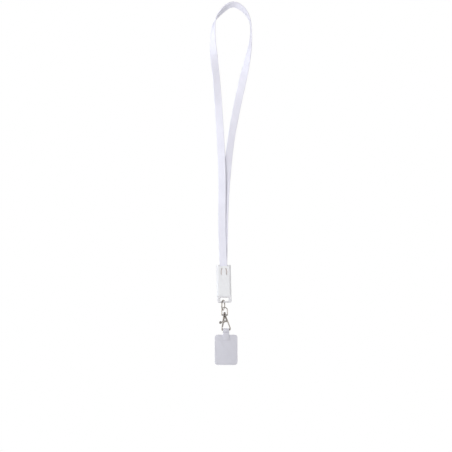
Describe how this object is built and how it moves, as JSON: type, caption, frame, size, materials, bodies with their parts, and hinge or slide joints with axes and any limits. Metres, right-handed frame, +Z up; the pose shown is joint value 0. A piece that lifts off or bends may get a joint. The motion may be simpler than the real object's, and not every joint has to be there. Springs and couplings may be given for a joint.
{
  "type": "phone crossbody strap",
  "caption": "White flat webbing neck loop with a plug housing, split ring, swivel snap hook and tether tab, shown hanging.",
  "frame": {"origin": "middle of the webbing's inner face at the top of the loop, where the strap hangs", "axes": "+Z up along the hanging strap, -Y towards the viewer, +X to the viewer's right"},
  "size_m": [0.0558, 0.0188, 0.4795],
  "materials": {
    "webbing": "white woven polyester, matte",
    "housing": "white moulded plastic, satin",
    "nickel": "nickel plate, polished",
    "tab": "white coated tape, smooth"
  },
  "bodies": {
    "root": {"strap": "webbing", "plug_sleeve": "housing", "hanger_frame": "housing", "split_ring": "nickel", "swivel_eye": "nickel"},
    "hook": {"snap_hook": "nickel", "gate_pin": "nickel", "tether_tab": "tab"},
    "gate": {"gate_lever": "nickel"}
  },
  "joints": [
    {"name": "swivel", "type": "hinge", "parent": "root", "child": "hook", "pos_m": [-0.01162, 0.00053, -0.41075], "axis": [0, 0, 1], "continuous": true},
    {"name": "gate_hinge", "type": "hinge", "parent": "hook", "child": "gate", "pos_m": [-0.01312, 0.00053, -0.41855], "axis": [0, -1, 0], "range_deg": [0, 30], "stiffness_Nm_per_rad": 0.01, "springref_deg": -20.05}
  ]
}
